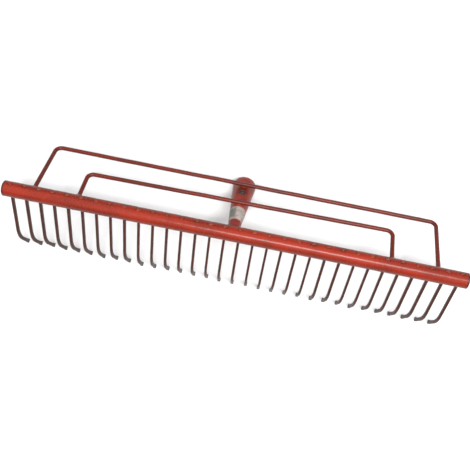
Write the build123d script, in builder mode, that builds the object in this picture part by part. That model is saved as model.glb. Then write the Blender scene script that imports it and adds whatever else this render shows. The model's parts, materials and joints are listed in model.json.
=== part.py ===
from build123d import *
import os
from math import acos, asin, atan2, cos, degrees, hypot, radians, sin

# A garden rake head without its handle: a round steel bar with hooked strip tines through it,
# two nested wire bows and a tapered handle socket. Millimetres and degrees.
#
# X runs along the bar, +Y is the back, where the bows and the socket are, and +Z is up. The head
# stands on its tine tips and on the lowest edge of the socket's mouth. A lean is an angle from
# straight down: forwards for the tines, backwards for the bows and the socket.

# Head bar
bar_length = 640.0
bar_od = 22.0
bar_wall = 1.5
plug_thickness = 2.0
plug_recess = 1.2

# Tines: flat strip with a hook at the lower end
tine_count = 32
end_margin = 10.0  # bar end to the middle of the first tine
tine_thickness = 3.4  # along the bar
tine_width = 5.0
tine_shank = 88.5  # bar axis to the corner of the hook
tine_lean = 45.8
hook_length = 31.0  # corner of the hook to the start of the tip
hook_lean = 8.0
bend_radius = 45.0
tip_radius = 60.0
tip_chamfer = 0.8
tine_proud = 0.3  # how far the top stands out of the bar
slot_clearance = 0.15

# Handle socket: a cone of rolled sheet with a short parallel mouth
mouth_bore = 28.8
socket_wall = 2.5
socket_length = 118.0  # bar axis to the mouth
mouth_land = 6.0
mouth_chamfer = 0.3
root_od = 16.0  # where the cone meets the bar
seam_gap = 0.3
screw_hole = 6.6
screw_from_mouth = 36.5
label_start = 22.5  # along the socket from the bar axis
label_height = 27.0
label_thickness = 0.25
label_wrap = 250.0

# Wire bows
wire = 6.0
bow_bend = 6.0  # inside bend radius
bow_gap = 0.4  # between a bow and the socket that it crosses
leg_depth = 3.0  # how far a leg enters the bar
leg_clearance = 0.1
outer_reach = 96.4  # bar axis to the middle of the bow's bar
outer_gap_number = 2  # the leg stands in this tine gap, counted from the bar's end
outer_shift = 1.5  # off the middle of that gap, outwards
outer_slant = -1.1  # extra reach of the right-hand corner
inner_reach = 55.9
inner_gap_number = 5
inner_shift = -2.0
inner_slant = 2.3

# Welds
top_weld_radius = 4.2
top_weld_height = 1.3
root_weld_radius = 4.4
root_weld_height = 2.2
leg_weld_radius = 5.2
leg_weld_height = 2.4
tack_radius = 3.2
joint_weld_radius = 1.8

bar_radius = bar_od / 2
wire_radius = wire / 2
mouth_radius = mouth_bore / 2 + socket_wall
tine_pitch = (bar_length - 2 * end_margin) / (tine_count - 1)
tine_places = [(i - (tine_count - 1) / 2) * tine_pitch for i in range(tine_count)]

# The bar's height comes from the tines, whose tips end pointing straight down on the floor
hook_drop = hook_length * cos(radians(hook_lean)) + tip_radius * sin(radians(hook_lean))
hook_forward = hook_length * sin(radians(hook_lean)) + tip_radius * (1 - cos(radians(hook_lean)))
bar_height = tine_shank * cos(radians(tine_lean)) + hook_drop
tine_front = tine_shank * sin(radians(tine_lean)) + hook_forward + tine_width / 2

# The socket leans until the lowest edge of its mouth is on the floor too
mouth_arm = hypot(socket_length, mouth_radius)
socket_lean = degrees(acos(bar_height / mouth_arm) + atan2(mouth_radius, socket_length))


def socket_radius(along):
    """Outer radius of the socket's cone at a distance from the bar axis."""
    slope = (mouth_radius - root_od / 2) / (socket_length - mouth_land - bar_radius)
    return root_od / 2 + slope * (along - bar_radius)


def bow_lean(reach):
    """Lean at which a bow's bar lies just clear of the socket that it crosses."""
    stand_off = socket_radius(reach) + wire_radius + bow_gap
    return socket_lean + degrees(asin(stand_off / reach))


outer_lean = bow_lean(outer_reach)
inner_lean = bow_lean(inner_reach)

# The origin is on the floor, midway between the foremost and the rearmost points
back_of_socket = socket_length * sin(radians(socket_lean)) + mouth_radius * cos(radians(socket_lean))
back_of_bow = outer_reach * sin(radians(outer_lean)) + wire_radius
bar_y = (tine_front - max(back_of_socket, back_of_bow)) / 2


def leaning(lean, x=0.0):
    """Plane on the bar axis at x whose Z axis points along a lean and whose X axis is the bar's."""
    direction = Vector(0, sin(radians(lean)), -cos(radians(lean)))
    return Plane(origin=(x, bar_y, bar_height), x_dir=(1, 0, 0), z_dir=direction)


def flat_of(lean, x=0.0):
    """Plane that holds both the bar axis and a lean: local X along the bar, local Y along the lean."""
    along = leaning(lean, x)
    return Plane(origin=along.origin, x_dir=(1, 0, 0), z_dir=Vector(1, 0, 0).cross(along.z_dir))


def leg_x(gap_number, shift):
    """Distance of a bow's legs from the middle of the bar."""
    return bar_length / 2 - end_margin - (gap_number - 0.5) * tine_pitch + shift


def save(part, name):
    part.label = name
    export_step(part, f"parts/{name}.step")


os.makedirs("parts", exist_ok=True)
tine_planes = [leaning(-tine_lean, x) for x in tine_places]
outer_leg = leg_x(outer_gap_number, outer_shift)
inner_leg = leg_x(inner_gap_number, inner_shift)
leg_planes = [leaning(outer_lean, x) for x in (-outer_leg, outer_leg)]
leg_planes += [leaning(inner_lean, x) for x in (-inner_leg, inner_leg)]
socket_plane = leaning(socket_lean)
bar_section = Plane.YZ.offset(-bar_length / 2)

# ---- Head bar: round tube with a slot through both walls for each tine, and holes for the legs
with BuildPart() as head_bar:
    with BuildSketch(bar_section):
        with Locations((bar_y, bar_height)):
            Circle(bar_radius)
            Circle(bar_radius - bar_wall, mode=Mode.SUBTRACT)
    extrude(amount=bar_length)
    with Locations(*tine_planes):
        Box(
            tine_thickness + 2 * slot_clearance,
            tine_width + 2 * slot_clearance,
            2 * bar_od,
            mode=Mode.SUBTRACT,
        )
    with Locations(*leg_planes):
        Cylinder(
            wire_radius + leg_clearance,
            bar_od,
            align=(Align.CENTER, Align.CENTER, Align.MIN),
            mode=Mode.SUBTRACT,
        )
save(head_bar.part, "head_bar")

# ---- End plugs: discs pressed into the bar, just inside its ends
plug_start = bar_length / 2 - plug_recess - plug_thickness
for side, name in ((-1, "end_plug_left"), (1, "end_plug_right")):
    with BuildPart() as end_plug:
        with BuildSketch(Plane.YZ.offset(side * plug_start)):
            with Locations((bar_y, bar_height)):
                Circle(bar_radius - bar_wall)
        extrude(amount=side * plug_thickness)
        chamfer(end_plug.faces().sort_by(Axis.X)[(side - 1) // 2].edges(), 0.4)
    save(end_plug.part, name)

# ---- Tines: each strip runs from the bar's far side, through it, down to a hook and a tip
for number, x in enumerate(tine_places, start=1):
    with BuildPart() as tine:
        forward = -sin(radians(tine_lean))
        down = -cos(radians(tine_lean))
        top = bar_radius + tine_proud
        with BuildLine(Plane.YZ.offset(x)) as centre:
            bend_setback = bend_radius * (1 - cos(radians(tine_lean - hook_lean)))
            bend_setback /= sin(radians(tine_lean - hook_lean))
            shank = Line(
                (bar_y - top * forward, bar_height - top * down),
                (
                    bar_y + (tine_shank - bend_setback) * forward,
                    bar_height + (tine_shank - bend_setback) * down,
                ),
            )
            bend = JernArc(shank @ 1, shank % 1, bend_radius, tine_lean - hook_lean)
            hook_end = bend @ 1 + (bend % 1) * (hook_length - bend_setback)
            hook = Line(bend @ 1, hook_end)
            JernArc(hook @ 1, hook % 1, tip_radius, hook_lean)
        with BuildSketch(Plane(origin=shank @ 0, x_dir=(1, 0, 0), z_dir=shank % 0)):
            Rectangle(tine_thickness, tine_width)
        sweep(path=centre.wires()[0])
        tip_edges = tine.faces().sort_by(Axis.Z)[0].edges()
        chamfer(tip_edges, tip_chamfer)
    save(tine.part, f"tine_{number:02d}")

# ---- Handle socket: revolved cone and mouth, cut to the bar, with a seam below and a screw hole above
with BuildPart() as handle_socket:
    with BuildSketch(flat_of(socket_lean)):
        root_along = bar_radius / 3
        land_along = socket_length - mouth_land
        root_radius = socket_radius(root_along)
        with BuildLine():
            Polyline(
                (root_radius, root_along),
                (mouth_radius, land_along),
                (mouth_radius, socket_length),
                (mouth_radius - socket_wall, socket_length),
                (mouth_radius - socket_wall, land_along),
                (root_radius - socket_wall, root_along),
                close=True,
            )
        make_face()
    revolve(axis=Axis(socket_plane.origin, socket_plane.z_dir))
    with Locations(Location((0, bar_y, bar_height), (0, 90, 0))):
        Cylinder(bar_radius, bar_length, mode=Mode.SUBTRACT)
    # Local Y of the socket's plane points to its underside
    with Locations(socket_plane):
        with Locations((0, mouth_radius, socket_length / 2)):
            Box(seam_gap, 2 * mouth_radius, 2 * socket_length, mode=Mode.SUBTRACT)
        with Locations(Location((0, 0, socket_length - screw_from_mouth), (90, 0, 0))):
            Cylinder(
                screw_hole / 2,
                2 * mouth_radius,
                align=(Align.CENTER, Align.CENTER, Align.MIN),
                mode=Mode.SUBTRACT,
            )
    # Ease the edge that the handle goes in over
    along_socket = Axis(socket_plane.origin, socket_plane.z_dir)
    mouth_edges = handle_socket.faces().sort_by(along_socket)[-1].edges()
    chamfer(mouth_edges.filter_by(GeomType.CIRCLE).sort_by(SortBy.RADIUS)[0], mouth_chamfer)
save(handle_socket.part, "handle_socket")

# ---- Paper label wrapped round the top of the cone
with BuildPart() as socket_label:
    with BuildSketch(flat_of(socket_lean)):
        label_end = label_start + label_height
        with BuildLine():
            Polyline(
                (socket_radius(label_start), label_start),
                (socket_radius(label_start) + label_thickness, label_start),
                (socket_radius(label_end) + label_thickness, label_end),
                (socket_radius(label_end), label_end),
                close=True,
            )
        make_face()
    revolve(axis=Axis(socket_plane.origin, socket_plane.z_dir), revolution_arc=label_wrap)
# It starts at the cone's right side, so it is turned to leave its gap underneath
past_gap = 90 + (360 - label_wrap) / 2
save(socket_label.part.rotate(Axis(socket_plane.origin, socket_plane.z_dir), past_gap), "socket_label")


def make_bow(lean, leg, reach, slant):
    """Wire bow: two legs out of the bar, two bends and a bar whose ends differ in reach by a slant."""
    leg_start = bar_radius - leg_depth
    with BuildPart() as bow:
        with BuildLine(flat_of(lean)) as centre:
            FilletPolyline(
                (-leg, leg_start),
                (-leg, reach - slant),
                (leg, reach + slant),
                (leg, leg_start),
                radius=bow_bend + wire_radius,
            )
        start = centre.wires()[0]
        with BuildSketch(Plane(origin=start @ 0, x_dir=(1, 0, 0), z_dir=start % 0)):
            Circle(wire_radius)
        sweep(path=start)
    return bow.part


outer_bow = make_bow(outer_lean, outer_leg, outer_reach, outer_slant)
inner_bow = make_bow(inner_lean, inner_leg, inner_reach, inner_slant)
save(outer_bow, "outer_bow")
save(inner_bow, "inner_bow")


def make_weld_caps(planes, radius, height):
    """Low domes on the bar, one on each plane's Z axis."""
    with BuildPart() as caps:
        with Locations(*planes):
            with Locations((0, 0, bar_radius + height - radius)):
                Sphere(radius)
        with Locations(Location((0, bar_y, bar_height), (0, 90, 0))):
            Cylinder(bar_radius, bar_length, mode=Mode.SUBTRACT)
    return caps.part


top_planes = [leaning(180 - tine_lean, x) for x in tine_places]
top_caps = make_weld_caps(top_planes, top_weld_radius, top_weld_height)
root_caps = make_weld_caps(tine_planes, root_weld_radius, root_weld_height)
leg_caps = make_weld_caps(leg_planes, leg_weld_radius, leg_weld_height)

# ---- Welds over the top of each tine, where it stands out of the bar
with BuildPart() as tine_top_welds:
    add(top_caps)
    with Locations(*tine_planes):
        Box(tine_thickness, tine_width, 2 * (bar_radius + tine_proud), mode=Mode.SUBTRACT)
save(tine_top_welds.part, "tine_top_welds")

# ---- Welds round each tine where it leaves the bar
with BuildPart() as tine_root_welds:
    add(root_caps)
    with Locations(*tine_planes):
        Box(tine_thickness, tine_width, 2 * bar_od, mode=Mode.SUBTRACT)
save(tine_root_welds.part, "tine_root_welds")

# ---- Welds round the feet of the two bows
with BuildPart() as bow_welds:
    add(leg_caps)
    with Locations(*leg_planes):
        Cylinder(wire_radius, 2 * bar_od, mode=Mode.SUBTRACT)
save(bow_welds.part, "bow_welds")

# ---- Weld bead along the joint of the socket and the bar
with BuildPart() as socket_weld:
    joint = handle_socket.edges().filter_by(GeomType.BSPLINE).sort_by(SortBy.LENGTH)[-1]
    with BuildSketch(Plane(origin=joint @ 0, z_dir=joint % 0)):
        Circle(joint_weld_radius)
    sweep(path=joint)
    with Locations(Location((0, bar_y, bar_height), (0, 90, 0))):
        Cylinder(bar_radius, bar_length, mode=Mode.SUBTRACT)
    add(handle_socket.part, mode=Mode.SUBTRACT)
save(socket_weld.part, "socket_weld")

# ---- Tack welds that fill the gap between each bow and the socket under it
with BuildPart() as bow_tack_welds:
    for lean, reach in ((outer_lean, outer_reach), (inner_lean, inner_reach)):
        with Locations(leaning(lean)):
            with Locations((0, wire_radius + bow_gap / 2, reach)):
                Sphere(tack_radius)
    add([outer_bow, inner_bow], mode=Mode.SUBTRACT)
    with Locations(socket_plane.offset(bar_radius)):
        Cone(
            socket_radius(bar_radius),
            mouth_radius,
            socket_length - mouth_land - bar_radius,
            align=(Align.CENTER, Align.CENTER, Align.MIN),
            mode=Mode.SUBTRACT,
        )
save(bow_tack_welds.part, "bow_tack_welds")
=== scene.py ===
import json
from math import atan2, cos, hypot, pi, radians, sin, tan
import bpy
import numpy as np
from mathutils import Matrix, Vector


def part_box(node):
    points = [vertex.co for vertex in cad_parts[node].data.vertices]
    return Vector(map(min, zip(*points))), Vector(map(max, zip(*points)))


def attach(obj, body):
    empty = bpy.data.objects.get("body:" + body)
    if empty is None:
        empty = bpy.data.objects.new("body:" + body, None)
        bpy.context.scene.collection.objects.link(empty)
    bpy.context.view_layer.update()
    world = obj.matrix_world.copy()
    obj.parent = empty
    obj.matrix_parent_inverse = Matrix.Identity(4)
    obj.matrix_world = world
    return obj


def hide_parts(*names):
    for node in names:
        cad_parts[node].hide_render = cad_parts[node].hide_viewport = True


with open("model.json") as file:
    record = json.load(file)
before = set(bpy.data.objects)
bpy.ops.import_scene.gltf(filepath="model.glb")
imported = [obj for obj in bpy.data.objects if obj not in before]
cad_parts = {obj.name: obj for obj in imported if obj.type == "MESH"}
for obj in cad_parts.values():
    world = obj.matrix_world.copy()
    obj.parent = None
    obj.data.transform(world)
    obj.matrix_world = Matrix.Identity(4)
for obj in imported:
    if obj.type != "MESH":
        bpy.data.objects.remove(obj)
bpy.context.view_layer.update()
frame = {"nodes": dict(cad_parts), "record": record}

cadNodes = frame["nodes"]
mounts = {mount["name"]: mount for mount in frame["record"]["mounts"]}
mm = 0.001
rng = np.random.default_rng(32)
print("frame:", len(cadNodes), "nodes")

# where things are, read from the frame
barLow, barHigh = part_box("head_bar")
barY = (barLow.y + barHigh.y) / 2
barZ = (barLow.z + barHigh.z) / 2
barRadius = (barHigh.z - barLow.z) / 2
barHalf = (barHigh.x - barLow.x) / 2
tineNames = sorted(name for name in cadNodes if name.startswith("tine_") and name[5:].isdigit())
tineX = np.array([(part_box(name)[0].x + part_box(name)[1].x) / 2 for name in tineNames])
socketAxis = Vector(mounts["handle_socket"]["axis"])
socketLean = atan2(socketAxis.y, -socketAxis.z)
xAxis = np.array([1.0, 0.0, 0.0])


def leanDirection(lean):
    # unit vector at an angle from straight down, backwards when positive
    return np.array([0.0, sin(lean), -cos(lean)])


def onBarAxis(x):
    # point on the bar's axis
    return np.array([x, barY, barZ])


# mesh from grids
def gridQuads(rows, columns, rowsWrap):
    # corner numbers of each cell of a grid whose columns wrap round
    i = np.arange(rows if rowsWrap else rows - 1)[:, None]
    j = np.arange(columns)[None, :]
    nextI, nextJ = (i + 1) % rows, (j + 1) % columns
    corners = [i * columns + j, i * columns + nextJ, nextI * columns + nextJ, nextI * columns + j]
    return np.stack(np.broadcast_arrays(*corners), -1).reshape(-1, 4)


def closedSurface(points, rowsWrap=False):
    # a grid of points as a closed shell: its columns wrap round, and its rows wrap or end in two poles
    rows, columns = points.shape[:2]
    vertices = points.reshape(-1, 3)
    quads = gridQuads(rows, columns, rowsWrap)
    triangles = np.zeros((0, 3), int)
    if not rowsWrap:
        ring = np.arange(columns)
        after = (ring + 1) % columns
        last = (rows - 1) * columns
        firstPole = np.full(columns, len(vertices))
        triangles = np.vstack([np.stack([firstPole, after, ring], 1),
                               np.stack([firstPole + 1, last + ring, last + after], 1)])
        vertices = np.vstack([vertices, points[0].mean(0), points[-1].mean(0)])
    # the signed volume of its triangles says whether it is inside out
    halves = np.vstack([quads[:, [0, 1, 2]], quads[:, [0, 2, 3]], triangles])
    a, b, c = (vertices[halves[:, k]] - vertices.mean(0) for k in range(3))
    if np.einsum("ij,ij->i", a, np.cross(b, c)).sum() < 0:
        quads, triangles = quads[:, ::-1], triangles[:, ::-1]
    return vertices, quads.tolist() + triangles.tolist()


def makePiece(name, surfaces, material, replaced, sharpAngle=40, uv=None):
    # one object from closed shells, which takes its CAD nodes' place. uv has a row for each vertex
    vertices, faces, count = [], [], 0
    for points, rowsWrap in surfaces:
        corners, cells = closedSurface(points, rowsWrap)
        vertices.append(corners)
        faces += [[k + count for k in cell] for cell in cells]
        count += len(corners)
    mesh = bpy.data.meshes.new(name)
    mesh.from_pydata(np.vstack(vertices).tolist(), [], faces)
    if uv is not None:
        layer = mesh.uv_layers.new(name="label")
        corner = np.zeros(len(mesh.loops), np.int32)
        mesh.loops.foreach_get("vertex_index", corner)
        layer.data.foreach_set("uv", uv[corner].ravel())
    mesh.materials.append(material)
    mesh.shade_smooth()
    mesh.set_sharp_from_angle(angle=radians(sharpAngle))
    piece = bpy.data.objects.new(name, mesh)
    bpy.context.scene.collection.objects.link(piece)
    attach(piece, "root")
    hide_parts(*replaced)
    return piece


def bentLine(steps, lengths, headings):
    # points on a plane line: its heading is interpolated between headings at the ends of the lengths,
    # so a stretch with two equal headings is straight and any other is an arc
    marks = np.concatenate([[0], np.cumsum(lengths)])
    heading = np.interp(steps, marks, headings)
    middle = np.interp((steps[1:] + steps[:-1]) / 2, marks, headings)
    move = np.diff(steps)[:, None] * np.stack([np.cos(middle), np.sin(middle)], 1)
    return np.vstack([[0.0, 0.0], np.cumsum(move, 0)]), heading


def sweep(path, across, tangent, section):
    # section carried along a path: its first number goes along across, its second along tangent x across
    side = np.cross(tangent, across)
    return path[:, None] + section[..., :1] * across + section[..., 1:] * side[:, None]


def smoothStep(x):
    # 0 below 0, 1 above 1, and 3 x squared - 2 x cubed between
    x = np.clip(x, 0, 1)
    return x * x * (3 - 2 * x)


def wobble(x, waves, size, generator):
    # sum of sines with seeded phases, about size high
    phase = generator.uniform(0, 2 * pi, len(waves))
    return size * sum(np.sin(2 * pi * x / wave + p) for wave, p in zip(waves, phase)) / len(waves) ** 0.5


# shader maths
class Value:
    # a socket that sums, products and so on can be written with
    def __init__(self, shop, socket):
        self.shop, self.socket = shop, socket

    def maths(self, operation, first, second=0.0):
        return self.shop.node("ShaderNodeMath", {"operation": operation}, {0: first, 1: second})

    def __add__(self, other):
        return self.maths("ADD", self, other)

    def __radd__(self, other):
        return self.maths("ADD", other, self)

    def __sub__(self, other):
        return self.maths("SUBTRACT", self, other)

    def __rsub__(self, other):
        return self.maths("SUBTRACT", other, self)

    def __mul__(self, other):
        return self.maths("MULTIPLY", self, other)

    def __rmul__(self, other):
        return self.maths("MULTIPLY", other, self)

    def __truediv__(self, other):
        return self.maths("DIVIDE", self, other)

    def __pow__(self, other):
        return self.maths("POWER", self, other)

    def above(self, low, high):
        # 0 below low, 1 above high, smooth between
        limits = {"Value": self, "From Min": low, "From Max": high}
        return self.shop.node("ShaderNodeMapRange", {"interpolation_type": "SMOOTHSTEP"}, limits)

    def fraction(self):
        return self.maths("FRACT", self)

    def absolute(self):
        return self.maths("ABSOLUTE", self)


class Shop:
    # builds the nodes of one material, or of the world
    def __init__(self, name, made=None, shader="Principled BSDF"):
        self.material = made or bpy.data.materials.new(name)
        self.material.use_nodes = True
        self.tree = self.material.node_tree
        self.shader = self.tree.nodes[shader]

    def node(self, kind, settings=None, inputs=None, output=0):
        made = self.tree.nodes.new(kind)
        for key, value in (settings or {}).items():
            setattr(made, key, value)
        self.feed(made, inputs or {})
        return Value(self, made.outputs[output])

    def feed(self, made, inputs):
        for key, value in inputs.items():
            if isinstance(value, Value):
                self.tree.links.new(value.socket, made.inputs[key])
            else:
                made.inputs[key].default_value = value

    def place(self):
        return self.node("ShaderNodeTexCoord", output="Object")

    def noise(self, place, scale, detail, stretch=None):
        # stretch divides the pattern's size along each axis
        if stretch:
            place = self.node("ShaderNodeMapping", None, {"Vector": place, "Scale": stretch})
        return self.node("ShaderNodeTexNoise", None, {"Vector": place, "Scale": scale, "Detail": detail})

    def blend(self, mask, first, second):
        return self.node("ShaderNodeMix", {"data_type": "RGBA"}, {0: mask, 6: first, 7: second}, output=2)

    def split(self, vector, axis):
        return self.node("ShaderNodeSeparateXYZ", None, {0: vector}, output=axis)

    def bump(self, height, distance):
        return self.node("ShaderNodeBump", None, {"Height": height, "Distance": distance})

    def finish(self, **inputs):
        self.feed(self.shader, {key.replace("_", " "): value for key, value in inputs.items()})
        return self.material


# sizes are in metres and angles in radians. A stray is how far a piece is off true, either way
tineShape = dict(
    thick=3.4 * mm, wide=5.0 * mm, proud=-0.2 * mm, shank=88.5 * mm, lean=radians(45.8), hook=31.0 * mm,
    hookLean=radians(8.0), bend=45.0 * mm, tipBend=60.0 * mm, corner=0.30, flare=0.34, flareLength=4.5 * mm,
    tipRound=1.2 * mm, tipKeep=0.55, stray=0.5 * mm, strayHook=radians(1.3), rolled=(-0.06, 0.09),
    along=120, tipSteps=8, around=28)

socketShape = dict(
    length=118.0 * mm, land=6.0 * mm, bore=14.4 * mm, wall=2.5 * mm, rootRadius=8.0 * mm, seam=0.1 * mm,
    hole=3.3 * mm, holeAt=81.5 * mm, dimple=0.45 * mm, dimpleWidth=5.0 * mm, lip=0.5 * mm,
    rolled=0.06 * mm, rolledWave=31 * mm, around=200, along=110, lipSteps=9)
socketMouth = socketShape["bore"] + socketShape["wall"]
socketDown = np.array([0.0, -cos(socketLean), -sin(socketLean)])  # square to its axis, to its underside
coneLength = socketShape["length"] - socketShape["land"] - barRadius
socketSlope = (socketMouth - socketShape["rootRadius"]) / coneLength

# enamel: colours are linear, pairs are the low and high limits of a mask, sizes of patterns are noise scales
# the dark colour serves both as soot and as painted shade; the side span sets where painted shade darkens
# surfaces facing sideways or down
enamel = dict(
    red=(0.270, 0.0190, 0.0060, 1), deep=(0.185, 0.0150, 0.0060, 1), dust=(0.18, 0.070, 0.040, 1),
    rust=(0.20, 0.050, 0.014, 1), sootAndShade=(0.050, 0.014, 0.010, 1), steel=(0.085, 0.080, 0.072, 1),
    mottle=70, grain=420, grit=2600, grime=38, chips=300, peel=1500, cloudy=(0.38, 0.66),
    grimeLimits=(0.40, 0.70), shadedSide=(0.5, 1.0), topSide=(0.1, 1.0), dustLimits=(0.45, 0.75),
    bareLimits=(0.75, 1.05), peelHeight=0.00008, gloss=0.20, specular=0.27)
# the inside settings paint shade on the cone's inner wall; the ring darkens round the screw hole
socketDirtAndShade = dict(insideDepth=(-2.1 * mm, -1.2 * mm), inside=0.9, insideRough=0.5, upperSide=(0.0, 2.0 * mm),
                  ringWidth=(5.0 * mm, 8.4 * mm), ring=0.94, ragged=4.0 * mm)
barSootAndDarkEnds = dict(spread=(2.4 * mm, 5.4 * mm), upperSide=(0.0, 4.0 * mm), cloudy=(0.22, 0.62), strength=0.9,
               endWidth=(3.6 * mm, 1.4 * mm), ragged=4.0 * mm)


def shaded(colour, shade):
    return tuple(c * s for c, s in zip(colour, shade)) + (1,)


def addSocketDirtAndShade(shop, place, fine, colour):
    # darker on the upper side round the screw hole, and painted shade inside the cone. Gives the colour and
    # the inside mask
    dirtAndShade = socketDirtAndShade
    x, back, high = shop.split(place, 0), shop.split(place, 1) - barY, shop.split(place, 2) - barZ
    along = back * sin(socketLean) - high * cos(socketLean)
    square = back * cos(socketLean) + high * sin(socketLean)
    fromHole = along - socketShape["holeAt"]
    ring = (fromHole * fromHole + x * x) ** 0.5 + (fine - 0.5) * dirtAndShade["ragged"]
    ring = (1 - ring.above(*dirtAndShade["ringWidth"])) * square.above(*dirtAndShade["upperSide"])
    colour = shop.blend(ring * dirtAndShade["ring"], colour, enamel["sootAndShade"])
    cone = along * socketSlope + (socketShape["rootRadius"] - socketSlope * barRadius)
    # painted shade: the inner wall of the cone is darkened
    inside = 1 - ((x * x + square * square) ** 0.5 - cone).above(*dirtAndShade["insideDepth"])
    return shop.blend(inside * dirtAndShade["inside"], colour, enamel["sootAndShade"]), inside


def addBarSootAndDarkEnds(shop, place, fine, cloud, colour):
    # soot round each weld on the bar's upper side, and darker on its cut ends
    sootAndShade = barSootAndDarkEnds
    lean, pitch = tineShape["lean"], float(tineX[1] - tineX[0])
    x, back, high = shop.split(place, 0), shop.split(place, 1) - barY, shop.split(place, 2) - barZ
    # distance along the bar to the nearest tine: the count of pitches is kept positive, and is half at a tine
    count = (x - float(tineX[0])) / pitch + 100.5
    apart = (count.fraction() - 0.5) * pitch
    beside = back * cos(lean) - high * sin(lean)
    outwards = back * sin(lean) + high * cos(lean)
    spread = (apart * apart + beside * beside) ** 0.5 + (fine - 0.5) * sootAndShade["ragged"]
    mask = (1 - spread.above(*sootAndShade["spread"])) * outwards.above(*sootAndShade["upperSide"])
    mask = mask * cloud.above(*sootAndShade["cloudy"]) * sootAndShade["strength"]
    colour = shop.blend(mask, colour, enamel["sootAndShade"])
    farIn, farOut = sootAndShade["endWidth"]
    cutEnd = x.absolute().above(barHalf - farIn, barHalf - farOut)
    return shop.blend(cutEnd * sootAndShade["strength"], colour, enamel["sootAndShade"])


def makeEnamel(name, shade=(1, 1, 1), rough=0.0, rusty=0.0, dusty=0.12, grimy=0.0, wornBelow=None,
               onBar=False, onSocket=False, flow=(1, 1, 1), sideShadeAmount=1.0):
    # sprayed red enamel: cloudy colour, orange peel, painted shade darkening the sides and undersides, dust
    # on top, rusty chips, and bare steel low down
    shop = Shop(name)
    place = shop.place()
    cloud = shop.noise(place, enamel["mottle"], 4.0, flow)
    fine = shop.noise(place, enamel["grain"], 3.0)
    grit = shop.noise(place, enamel["grit"], 2.0)
    red, deep = shaded(enamel["red"], shade), shaded(enamel["deep"], shade)
    colour = shop.blend(cloud.above(*enamel["cloudy"]), red, deep)
    if grimy:
        grime = shop.noise(place, enamel["grime"], 5.0).above(*enamel["grimeLimits"])
        colour = shop.blend(grime * grimy, colour, enamel["sootAndShade"])
    if onBar:
        colour = addBarSootAndDarkEnds(shop, place, fine, cloud, colour)
    inside = 0.0
    if onSocket:
        colour, inside = addSocketDirtAndShade(shop, place, fine, colour)
    upward = shop.split(shop.node("ShaderNodeNewGeometry", output="Normal"), 2)
    # painted shade: the red darkens towards the dark colour where the surface faces sideways or down
    sideShade = 1 - upward.above(*enamel["shadedSide"])
    colour = shop.blend(sideShade * (0.32 + cloud * 0.22) * sideShadeAmount, colour, enamel["sootAndShade"])
    dust = upward.above(*enamel["topSide"]) * fine.above(*enamel["dustLimits"]) * dusty
    colour = shop.blend(dust, colour, enamel["dust"])
    chips = shop.noise(place, enamel["chips"], 5.0).above(0.70 - rusty * 0.12, 0.74 - rusty * 0.10)
    colour = shop.blend(chips * (0.35 + rusty * 0.4), colour, enamel["rust"])
    roughness = cloud * 0.10 + dust * 0.5 + chips * 0.2 + inside * socketDirtAndShade["insideRough"]
    roughness = roughness + (enamel["gloss"] + rough)
    metal = 0.0
    if wornBelow:
        bare = 1 - shop.split(place, 2).above(*wornBelow)
        bare = bare * (0.55 + fine * 0.9).above(*enamel["bareLimits"])
        colour = shop.blend(bare, colour, enamel["steel"])
        roughness = roughness + bare * 0.12
        metal = bare * 0.6
    peel = shop.noise(place, enamel["peel"], 1.0)
    height = peel * 0.5 + cloud * 0.9 + grit * 0.10 - chips * 0.35
    return shop.finish(Base_Color=colour, Roughness=roughness, Metallic=metal, IOR=1.45,
                       Normal=shop.bump(height, enamel["peelHeight"]), Specular_IOR_Level=enamel["specular"])


barEnamel = makeEnamel("barEnamel", onBar=True, flow=(0.35, 1, 1))
wireEnamel = makeEnamel("wireEnamel", (0.50, 0.75, 1.0), rough=0.02, flow=(0.5, 1, 1))
# the tines' red is a darker copy of the bar's: painted shade for the strips under the bar
tineEnamel = makeEnamel("tineEnamel", (0.185, 0.58, 0.85), rough=0.18, rusty=0.4, dusty=0.2,
                        wornBelow=(2 * mm, 14 * mm))
socketEnamel = makeEnamel("socketEnamel", (0.92, 0.72, 0.65), rough=0.08, rusty=0.3, grimy=0.5,
                          onSocket=True, sideShadeAmount=0.3)
weldEnamel = makeEnamel("weldEnamel", (1.05, 1.7, 1.5), rough=0.02, rusty=0.8, grimy=0.3)
print("materials: enamel")


# head bar
barShape = dict(wall=1.5 * mm, rim=0.5 * mm, lip=0.2 * mm, rimSteps=6, sink=0.10 * mm, sinkWidth=3.4 * mm,
                sinkTurn=radians(44), sinkAllRound=0.4, around=112, along=720)


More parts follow.
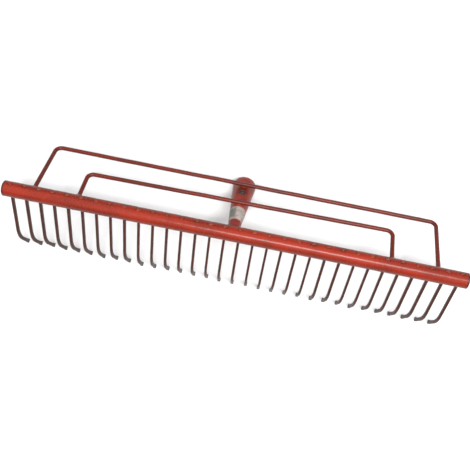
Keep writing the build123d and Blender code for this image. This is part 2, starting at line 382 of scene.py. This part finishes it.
def makeBar():
    # a profile of (x, radius) turned round the bar's axis: outer wall, rim, inner wall and the other rim.
    # the outer radius sinks a little at each tine, most in line with it, where the welds pulled it
    shape = barShape
    inner = barRadius - shape["wall"]
    rim, lip = shape["rim"], shape["lip"]
    turn = np.linspace(0, pi / 2, shape["rimSteps"])[1:]
    cornerX = barHalf - rim + rim * np.sin(turn)
    cornerR = barRadius - rim + rim * np.cos(turn)
    lipPoints = np.array([[barHalf, inner + lip], [barHalf - lip, inner]])
    right = np.vstack([np.stack([cornerX, cornerR], 1), lipPoints])
    left = right[::-1] * [-1, 1]
    outerX = np.linspace(-barHalf + rim, barHalf - rim, shape["along"])
    outer = np.stack([outerX, np.full(len(outerX), barRadius)], 1)
    profile = np.vstack([outer, right, left])
    angle = np.linspace(0, 2 * pi, shape["around"], endpoint=False)
    nearest = np.abs(profile[:, :1] - tineX[None, :]).min(1)
    pulled = np.exp(-(nearest / shape["sinkWidth"]) ** 2)[:, None]
    isOuter = (np.arange(len(profile)) < len(outer))[:, None]
    allRound = shape["sinkAllRound"]
    inLine = allRound + (1 - allRound) * np.abs(np.cos(angle + shape["sinkTurn"]))
    radius = profile[:, 1:] - isOuter * shape["sink"] * pulled * inLine
    x = profile[:, :1] + 0 * angle
    points = np.stack([x, barY + radius * np.sin(angle), barZ + radius * np.cos(angle)], -1)
    return makePiece("headBar", [(points, True)], barEnamel, ["head_bar"])


# shares of the plug's thickness in from its outer face, and of its radius
plugShape = dict(depth=(0.8, 0.75, 0.55, 0.2, 0.0, 0.0, 0.12, 0.5, 1.0, 1.0),
                 radius=(0.08, 0.45, 0.62, 0.72, 0.80, 0.90, 0.965, 1.0, 1.0, 0.1), around=64)


def makePlug(name, node, side):
    # a profile of (depth, radius) turned round the bar's axis: a pressed disc with a shallow dish
    low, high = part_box(node)
    outerFace = high.x if side > 0 else low.x
    depth = np.array(plugShape["depth"])[:, None] * (high.x - low.x)
    radius = np.array(plugShape["radius"])[:, None] * (barRadius - barShape["wall"])
    angle = np.linspace(0, 2 * pi, plugShape["around"], endpoint=False)
    x = outerFace - side * depth + 0 * angle
    points = np.stack([x, barY + radius * np.sin(angle), barZ + radius * np.cos(angle)], -1)
    return makePiece(name, [(points, False)], socketEnamel, [node], 60)


makeBar()
makePlug("endPlugLeft", "end_plug_left", -1)
makePlug("endPlugRight", "end_plug_right", 1)
print("head bar and end plugs")


# tines
def makeTine(name, node, x, generator):
    # a strip with rounded edges carried along a line in the YZ plane: straight shank, bend, straight hook,
    # long bend to the tip, which is hammered a little wider and rounded off
    shape = tineShape
    strayTurn = generator.uniform(-1, 1) * shape["strayHook"]
    rolled = 1 + generator.uniform(*shape["rolled"])
    turned = shape["lean"] - shape["hookLean"]
    setBack = shape["bend"] * tan(turned / 2)
    top = barRadius + shape["proud"]
    lengths = [top + shape["shank"] - setBack, shape["bend"] * turned, shape["hook"] - setBack,
               shape["tipBend"] * shape["hookLean"]]
    down = -pi / 2
    shankHeading, hookHeading = down - shape["lean"], down - shape["hookLean"] + strayTurn
    headings = [shankHeading, shankHeading, hookHeading, hookHeading, down + strayTurn]
    # steps along the line, closer together where the tip is rounded off
    total, tip = sum(lengths), shape["tipRound"]
    roundOff = total - tip * (1 - np.sin(np.linspace(0, pi / 2, shape["tipSteps"]))[:-1])
    steps = np.concatenate([np.linspace(0, total - tip, shape["along"])[:-1], roundOff])
    line, heading = bentLine(steps, lengths, headings)
    start = onBarAxis(x) - top * leanDirection(-shape["lean"])
    share = (steps / total) ** 2
    stray = generator.uniform(-1, 1) * shape["stray"] * share
    path = np.stack([x + stray, start[1] + line[:, 0], start[2] + line[:, 1]], 1)
    path[:, 2] += share * (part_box(node)[0].z - path[:, 2].min())  # the tip stays as low as in the frame
    tangent = np.stack([0 * heading, np.cos(heading), np.sin(heading)], 1)
    # section: a rounded rectangle, cosine and sine raised to a small power
    angle = np.linspace(0, 2 * pi, shape["around"], endpoint=False)
    across = np.sign(np.cos(angle)) * np.abs(np.cos(angle)) ** shape["corner"]
    side = np.sign(np.sin(angle)) * np.abs(np.sin(angle)) ** shape["corner"]
    wider = 1 + shape["flare"] * smoothStep((steps - total + shape["flareLength"]) / shape["flareLength"])
    past = np.clip((steps - total + tip) / tip, 0, 1)
    keep = shape["tipKeep"]
    ended = np.where(past > 0, keep + (1 - keep) * np.sqrt(np.maximum(1 - past ** 2, 0.02)), 1)
    section = np.stack([across * (shape["thick"] / 2 * rolled * wider * ended)[:, None],
                        side * (shape["wide"] / 2 * wider * ended)[:, None]], -1)
    grid = sweep(path, xAxis, tangent, section)
    return makePiece(name, [(grid, False)], tineEnamel, [node], 50)


for number, node in enumerate(tineNames):
    makeTine("tine" + node[5:], node, tineX[number], rng)
print("tines:", len(tineNames))


# wire bows. The slant is how much deeper one end of a bow's bar lies than the other, halved
bowShape = dict(wire=3.0 * mm, bend=9.0 * mm, legDepth=3.0 * mm, around=26, step=1.4 * mm, wave=0.22 * mm,
                waveLengths=(0.23, 0.11, 0.06), slant={"outer_bow": -1.1 * mm, "inner_bow": 2.3 * mm})


def bowFacts(node):
    # lean, half width and reach of a bow's centre line, from its box
    low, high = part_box(node)
    wire = bowShape["wire"]
    backY, lowZ = high.y - wire - barY, barZ - low.z - wire
    return atan2(backY, lowZ), (high.x - low.x) / 2 - wire, hypot(backY, lowZ) - abs(bowShape["slant"][node])


def makeBow(name, node, generator):
    # round wire carried along a line in the bow's plane: leg, bend, bar, bend, leg, with a slight waviness
    shape = bowShape
    lean, leg, reach = bowFacts(node)
    slant, bend = shape["slant"][node], shape["bend"]
    tilt = atan2(slant, leg)
    firstTurn, secondTurn = pi / 2 - tilt, pi / 2 + tilt
    firstSet, secondSet = bend * tan(firstTurn / 2), bend * tan(secondTurn / 2)
    foot = barRadius - shape["legDepth"]
    lengths = [reach - slant - foot - firstSet, bend * firstTurn,
               2 * leg / cos(tilt) - firstSet - secondSet,
               bend * secondTurn, reach + slant - foot - secondSet]
    headings = [pi / 2, pi / 2, tilt, tilt, -pi / 2, -pi / 2]
    total = sum(lengths)
    steps = np.linspace(0, total, int(total / shape["step"]))
    line, heading = bentLine(steps, lengths, headings)
    along = leanDirection(lean)
    outOfPlane = np.cross(xAxis, along)
    fade = np.sin(pi * steps / total) ** 2
    wave = fade * wobble(steps, shape["waveLengths"], shape["wave"], generator)
    path = onBarAxis(0) + (line[:, :1] - leg) * xAxis + (line[:, 1:] + foot) * along
    path = path + wave[:, None] * outOfPlane
    tangent = np.cos(heading)[:, None] * xAxis + np.sin(heading)[:, None] * along
    angle = np.linspace(0, 2 * pi, shape["around"], endpoint=False)
    circle = np.stack([np.cos(angle), np.sin(angle)], 1) * shape["wire"]
    section = np.broadcast_to(circle, (len(steps),) + circle.shape)
    grid = sweep(path, outOfPlane, tangent, section)
    return makePiece(name, [(grid, False)], wireEnamel, [node])


makeBow("outerBow", "outer_bow", rng)
makeBow("innerBow", "inner_bow", rng)
print("bows")


# handle socket
def coneRadius(along):
    # outer radius of the socket at a distance from the bar axis: a cone, then a parallel mouth
    return np.minimum(socketShape["rootRadius"] + socketSlope * (along - barRadius), socketMouth)


def onSocket(angle, along, radius):
    # point at an angle round the socket from its right side, towards its underside
    across = radius[..., None] * (np.cos(angle)[..., None] * xAxis + np.sin(angle)[..., None] * socketDown)
    return onBarAxis(0) + along[..., None] * leanDirection(socketLean) + across


# millimetres out from the wall's outer face, and shares of the hole's radius
drillShape = dict(height=(-5.0, -0.9, -0.35, 4.0), width=(1.0, 1.0, 1.16, 2.2), around=48)


def makeDrill():
    # rings of growing radius square to the socket's axis, from inside the wall to well outside
    turn = np.linspace(0, 2 * pi, drillShape["around"], endpoint=False)[:, None]
    height = np.array(drillShape["height"]) * mm + coneRadius(np.array(socketShape["holeAt"]))
    width = np.array(drillShape["width"]) * socketShape["hole"]
    axis = leanDirection(socketLean)
    ring = np.cos(turn) * xAxis + np.sin(turn) * axis
    centre = onBarAxis(0) + socketShape["holeAt"] * axis
    vertices, faces = closedSurface(centre - height[:, None, None] * socketDown + width[:, None, None] * ring)
    mesh = bpy.data.meshes.new("drill")
    mesh.from_pydata(vertices.tolist(), [], faces)
    drill = bpy.data.objects.new("drill", mesh)
    bpy.context.scene.collection.objects.link(drill)
    return drill


def makeSocket():
    # for each angle from one side of the seam to the other, a closed loop up the outside, over the lip and
    # back down the inside. The root follows the bar: it starts where the cone's line meets the bar's circle
    shape = socketShape
    halfSeam = shape["seam"] / 2 / socketMouth
    angle = np.linspace(pi / 2 + halfSeam, pi / 2 + 2 * pi - halfSeam, shape["around"])[:, None]
    up = np.linspace(0, 1, shape["along"])
    lip = np.linspace(0, pi, shape["lipSteps"])[1:-1]
    share = np.concatenate([up, np.full(len(lip), 1.0), up[::-1]])
    inward = np.concatenate([0 * up, (1 - np.cos(lip)) / 2, 1 + 0 * up]) * shape["wall"]
    overLip = (np.concatenate([0 * up, np.sin(lip), 0 * up]) - (share == 1)) * shape["lip"]
    edge = np.minimum(shape["rootRadius"] - inward[None, :], 0.98 * barRadius)
    root = np.sqrt(barRadius ** 2 - (edge * np.sin(angle)) ** 2)
    along = root + share[None, :] * (shape["length"] - root) + overLip[None, :]
    radius = coneRadius(along) - inward[None, :]
    # the punch dished the wall a little round the screw hole
    fromHole = np.hypot(along - shape["holeAt"], (angle - 3 * pi / 2) * radius)
    radius = radius - shape["dimple"] * np.exp(-(fromHole / shape["dimpleWidth"]) ** 2)
    radius = radius + shape["rolled"] * np.sin(3 * angle + 1.0) * np.sin(along / shape["rolledWave"])
    points = onSocket(angle + 0 * along, along, radius)
    piece = makePiece("handleSocket", [(points, False)], socketEnamel, ["handle_socket"])
    # the screw hole is taken out and the result kept as the mesh
    drill = makeDrill()
    cut = piece.modifiers.new("screwHole", "BOOLEAN")
    cut.operation, cut.solver, cut.object = "DIFFERENCE", "EXACT", drill
    bpy.context.view_layer.update()
    drilled = bpy.data.meshes.new_from_object(piece.evaluated_get(bpy.context.evaluated_depsgraph_get()))
    piece.modifiers.clear()
    piece.data = drilled
    bpy.data.objects.remove(drill)
    drilled.shade_smooth()
    drilled.set_sharp_from_angle(angle=radians(35))
    return piece


makeSocket()
print("socket")


# paper label
labelShape = dict(start=22.5 * mm, height=27.0 * mm, wrap=radians(250), thick=0.14 * mm, clear=0.03 * mm,
                  crease=0.05 * mm, lift=0.5 * mm, liftShare=0.035, around=150, along=34)
labelInk = dict(paper=(0.36, 0.31, 0.285, 1), stain=(0.26, 0.20, 0.18, 1), border=(0.30, 0.13, 0.11, 1),
                tint=(0.13, 0.15, 0.13, 1), bars=(0.045, 0.055, 0.05, 1), lines=(0.15, 0.15, 0.15, 1),
                barScale=190.0, lineCount=11.0, fibreScale=900.0, fibreHeight=0.00006, stainScale=140.0)


def between(value, low, high, soft=0.008):
    # 1 from low to high, with soft edges
    return value.above(low - soft, low + soft) * (1 - value.above(high - soft, high + soft))


def makeLabelPaper():
    # white paper, with a patch of grey bars and a few grey lines on its own UV map: u round, v along
    shop, ink = Shop("labelPaper"), labelInk
    place = shop.node("ShaderNodeTexCoord", output="UV")
    u, v = shop.split(place, 0), shop.split(place, 1)
    rows = (v * ink["lineCount"]).fraction()
    strips = shop.node("ShaderNodeTexNoise", {"noise_dimensions": "1D"},
                       {"W": u, "Scale": ink["barScale"], "Detail": 0.0})
    bars = between(u, 0.26, 0.43) * between(v, 0.20, 0.80) * strips.above(0.46, 0.54)
    tint = between(u, 0.20, 0.46, 0.02) * between(v, 0.10, 0.92, 0.02)
    lines = between(u, 0.50, 0.66) * between(v, 0.22, 0.78) * between(rows, 0.30, 0.62, 0.06)
    border = 1 - between(v, 0.06, 0.94, 0.012)
    fibres = shop.noise(shop.place(), ink["fibreScale"], 4.0)
    stain = shop.noise(shop.place(), ink["stainScale"], 3.0)
    colour = shop.blend(stain.above(0.42, 0.70), ink["paper"], ink["stain"])
    colour = shop.blend(border * 0.6, colour, ink["border"])
    colour = shop.blend(tint * 0.7, colour, ink["tint"])
    colour = shop.blend(bars * 0.8, colour, ink["bars"])
    colour = shop.blend(lines * 0.5, colour, ink["lines"])
    return shop.finish(Base_Color=colour, Roughness=0.55 + fibres * 0.2,
                       Normal=shop.bump(fibres, ink["fibreHeight"]), IOR=1.45)


def makeLabel():
    # for each angle, a loop round the thin section of the sheet. Its two ends lift off the cone
    shape = labelShape
    share = np.linspace(0, 1, shape["around"])[:, None]
    angle = pi / 2 + (2 * pi - shape["wrap"]) / 2 + share * shape["wrap"]
    up = np.linspace(0, 1, shape["along"])
    v = np.concatenate([up, up[::-1]])[None, :] + 0 * angle
    along = shape["start"] + v * shape["height"]
    end = shape["liftShare"]
    lifted = shape["lift"] * (smoothStep((share - (1 - end)) / end) + smoothStep((end - share) / end))
    crease = shape["crease"] * (1 + np.sin(9 * angle + 60 * v) * np.sin(23 * v + 2 * angle))
    outer = np.concatenate([0 * up + 1, 0 * up])[None, :]
    radius = coneRadius(along) + shape["clear"] + outer * shape["thick"] + crease + lifted
    points = onSocket(angle + 0 * along, along, radius)
    uv = np.stack([share + 0 * v, v], -1).reshape(-1, 2)
    uv = np.vstack([uv, [[0, 0.5], [1, 0.5]]])  # the two poles
    surface = [(points, False)]
    return makePiece("socketLabel", surface, makeLabelPaper(), ["socket_label"], uv=uv)


makeLabel()
print("label")


# welds
topWeld = dict(halfX=2.9 * mm, halfAround=3.4 * mm, height=1.1 * mm, crater=0.15 * mm, craterWidth=0.38,
               ripple=0.07 * mm, sink=0.12 * mm, rootDepth=0.6 * mm, sizes=(0.75, 1.12),
               strayX=0.25 * mm, strayAround=0.3 * mm, rings=12, around=28)
filletShapes = dict(tineRoot=dict(spread=1.9 * mm, rise=1.8 * mm, ripples=7, narrow=0.0),
                    bowFoot=dict(spread=2.4 * mm, rise=2.2 * mm, ripples=9, narrow=0.0),
                    socketRoot=dict(spread=2.3 * mm, rise=2.8 * mm, ripples=19, narrow=0.3))
tackWeld = dict(halfX=4.4 * mm, halfAlong=4.6 * mm, halfThick=1.5 * mm, sink=0.2 * mm, lump=0.08)


def makeTopWelds(generator):
    # on the bar's surface, a round patch whose height falls as (1 - r squared) to the rim, with a crater
    shape = topWeld
    ring = np.linspace(0.08, 1, shape["rings"])[:, None]
    angle = np.linspace(0, 2 * pi, shape["around"], endpoint=False)[None, :]
    middle = pi - tineShape["lean"]
    surfaces = []
    for x in tineX:
        size = generator.uniform(*shape["sizes"])
        lump = 1 + 0.16 * np.sin(2 * angle + generator.uniform(0, 6))
        lump = lump + 0.12 * np.sin(3 * angle + generator.uniform(0, 6))
        acrossX = ring * np.cos(angle) * shape["halfX"] * size * lump + generator.normal(0, shape["strayX"])
        around = ring * np.sin(angle) * shape["halfAround"] * size * lump
        around = around + generator.normal(0, shape["strayAround"])
        height = shape["height"] * (1 - ring ** 2) ** 0.8
        height = height - shape["crater"] * np.exp(-(ring / shape["craterWidth"]) ** 2)
        ripple = shape["ripple"] * np.sin(9 * ring + 2 * angle + generator.uniform(0, 6)) * (1 - ring)
        radius = barRadius + height + ripple - shape["sink"] * ring ** 4
        turn = middle + around / barRadius
        points = np.stack([x + acrossX, barY + radius * np.sin(turn), barZ - radius * np.cos(turn)], -1)
        rimTurn = turn[-1:]
        outwards = np.stack([0 * rimTurn, np.sin(rimTurn), -np.cos(rimTurn)], -1)
        surfaces.append((np.concatenate([points, points[-1:] - shape["rootDepth"] * outwards]), False))
    makePiece("tineTopWelds", surfaces, weldEnamel, ["tine_top_welds"], 70)


def filletWeld(x, lean, halfX, halfSide, shape, generator):
    # a ring round a stem that leaves the bar: from the bar's surface it climbs the stem along a hollow curve.
    # the stem's outline is the root of cosine and sine, between an ellipse and a rectangle
    spread, ripples = shape["spread"], shape["ripples"]
    angle = np.linspace(0, 2 * pi, 20 + 6 * ripples, endpoint=False)[None, :]
    share = np.linspace(0, 1, 9)[:, None]
    stemX = halfX * np.sign(np.cos(angle)) * np.abs(np.cos(angle)) ** 0.5
    stemSide = halfSide * np.sign(np.sin(angle)) * np.abs(np.sin(angle)) ** 0.5
    phase = generator.uniform(0, 2 * pi, 3)
    uneven = 1 + 0.10 * np.sin(2 * angle + phase[0]) + 0.12 * np.sin(ripples * angle + phase[1])
    reach = spread * (1 - share) * uneven * (1 - shape["narrow"] * np.abs(np.sin(angle)))
    acrossX = stemX * 0.97 + reach * np.cos(angle)
    side = stemSide * 0.97 + reach * np.sin(angle)
    ground = np.sqrt(np.maximum(barRadius ** 2 - side ** 2, 0)) - 0.25 * mm * (1 - share) ** 3
    climb = shape["rise"] * share ** 1.7 * (1 + 0.12 * np.sin(3 * angle + phase[2]))
    bulge = 0.175 * spread * np.sin(pi * share)
    height = ground + climb + bulge
    direction = leanDirection(lean)
    sideways = np.cross(direction, xAxis)
    points = (onBarAxis(x) + height[..., None] * direction
              + acrossX[..., None] * xAxis + side[..., None] * sideways)
    return points, False


def makeFilletWelds(generator):
    lean, halfThick, halfWide = -tineShape["lean"], tineShape["thick"] / 2, tineShape["wide"] / 2
    rootShape, footShape, wire = filletShapes["tineRoot"], filletShapes["bowFoot"], bowShape["wire"]
    roots = [filletWeld(x, lean, halfThick, halfWide, rootShape, generator) for x in tineX]
    makePiece("tineRootWelds", roots, weldEnamel, ["tine_root_welds"], 70)
    feet = []
    for node in ("outer_bow", "inner_bow"):
        lean, leg, reach = bowFacts(node)
        feet += [filletWeld(x, lean, wire, wire, footShape, generator) for x in (-leg, leg)]
    makePiece("bowWelds", feet, weldEnamel, ["bow_welds"], 70)
    root = socketShape["rootRadius"] + 0.1 * mm
    collar = [filletWeld(0.0, socketLean, root, root, filletShapes["socketRoot"], generator)]
    makePiece("socketWeld", collar, weldEnamel, ["socket_weld"], 70)


def makeTackWelds(generator):
    # a lumpy flattened ball in the gap between each bow and the socket under it
    shape = tackWeld
    polar = np.linspace(0.12, pi - 0.12, 22)[:, None]
    angle = np.linspace(0, 2 * pi, 30, endpoint=False)[None, :]
    surfaces = []
    for node in ("outer_bow", "inner_bow"):
        lean, leg, reach = bowFacts(node)
        down = np.array([0.0, -cos(lean), -sin(lean)])
        centre = onBarAxis(0) + reach * leanDirection(lean) + (bowShape["wire"] + shape["sink"]) * down
        lump = 1 + shape["lump"] * np.sin(3 * angle + generator.uniform(0, 6)) * np.sin(polar)
        ballX = np.sin(polar) * np.cos(angle) * shape["halfX"] * lump
        ballAlong = np.sin(polar) * np.sin(angle) * shape["halfAlong"] * lump
        ballDown = np.cos(polar) * shape["halfThick"] + 0 * angle
        points = (centre + ballX[..., None] * xAxis + ballAlong[..., None] * leanDirection(socketLean)
                  + ballDown[..., None] * socketDown)
        surfaces.append((points, False))
    makePiece("bowTackWelds", surfaces, weldEnamel, ["bow_tack_welds"], 70)


makeTopWelds(rng)
makeFilletWelds(rng)
makeTackWelds(rng)
print("welds")


# studio. The dome and bandEnds pairs are heights in the sky, 0 at the horizon and 1 overhead
studio = dict(floor=(0.74, 0.74, 0.74, 1), floorHalf=20.0, horizon=0.16, zenith=1.32, dome=(0.35, 0.85),
              band=0.62, bandEnds=(0.10, 0.34), keyPower=26.0, keyPlace=(0.32, -0.13, 1.60),
              keyAim=(0.27, 0.0, 0.0), keySize=(1.0, 0.18))


def makeFloor():
    half = studio["floorHalf"]
    mesh = bpy.data.meshes.new("floor")
    corners = [(-half, -half, 0), (half, -half, 0), (half, half, 0), (-half, half, 0)]
    mesh.from_pydata(corners, [], [(0, 1, 2, 3)])
    mesh.materials.append(Shop("floorPaint").finish(Base_Color=studio["floor"], Roughness=0.9))
    floor = bpy.data.objects.new("floor", mesh)
    bpy.context.scene.collection.objects.link(floor)


def makeKeyLight():
    data = bpy.data.lights.new("key", "AREA")
    data.shape, data.energy = "RECTANGLE", studio["keyPower"]
    data.size, data.size_y = studio["keySize"]
    light = bpy.data.objects.new("key", data)
    place, aim = Vector(studio["keyPlace"]), Vector(studio["keyAim"])
    light.location = place
    light.rotation_euler = (aim - place).to_track_quat("-Z", "Y").to_euler()
    bpy.context.scene.collection.objects.link(light)


def makeDome():
    # a soft dome light, bright overhead, dim above the horizon and pale at it
    shop = Shop("dome", bpy.data.worlds.new("dome"), "Background")
    upward = shop.split(shop.node("ShaderNodeTexCoord", output="Generated"), 2)
    band = 1 - upward.above(*studio["bandEnds"])
    glow = upward.above(*studio["dome"]) * studio["zenith"] + band * studio["band"] + studio["horizon"]
    shop.feed(shop.shader, {"Color": (1, 1, 1, 1), "Strength": glow})
    bpy.context.scene.world = shop.material


# tilts are degrees from straight down, towards the back and the right; roll turns the view about its own line
cameraView = dict(lens=45.96, distance=0.8123, aimFromBar=(0.0041, -0.0010, 0.0), tiltBack=1.808,
                  tiltRight=-2.31, roll=11.365, nearest=0.01)


def makeCamera():
    view = cameraView
    back, right = radians(view["tiltBack"]), radians(view["tiltRight"])
    forward = Vector((sin(right), cos(right) * sin(back), -cos(right) * cos(back)))
    level = Vector((1, 0, 0))
    level = (level - forward * level.dot(forward)).normalized()
    level = Matrix.Rotation(-radians(view["roll"]), 3, forward) @ level
    upward = level.cross(forward)
    data = bpy.data.cameras.new("camera")
    data.lens, data.clip_start = view["lens"], view["nearest"]
    camera = bpy.data.objects.new("camera", data)
    place = Vector((0, barY, barZ)) + Vector(view["aimFromBar"]) - forward * view["distance"]
    turned = Matrix((level, upward, -forward)).transposed().to_4x4()
    camera.matrix_world = Matrix.Translation(place) @ turned
    bpy.context.scene.collection.objects.link(camera)
    bpy.context.scene.camera = camera


makeFloor()
makeKeyLight()
makeDome()
makeCamera()
bpy.context.scene.view_settings.view_transform = "Standard"
print("studio")
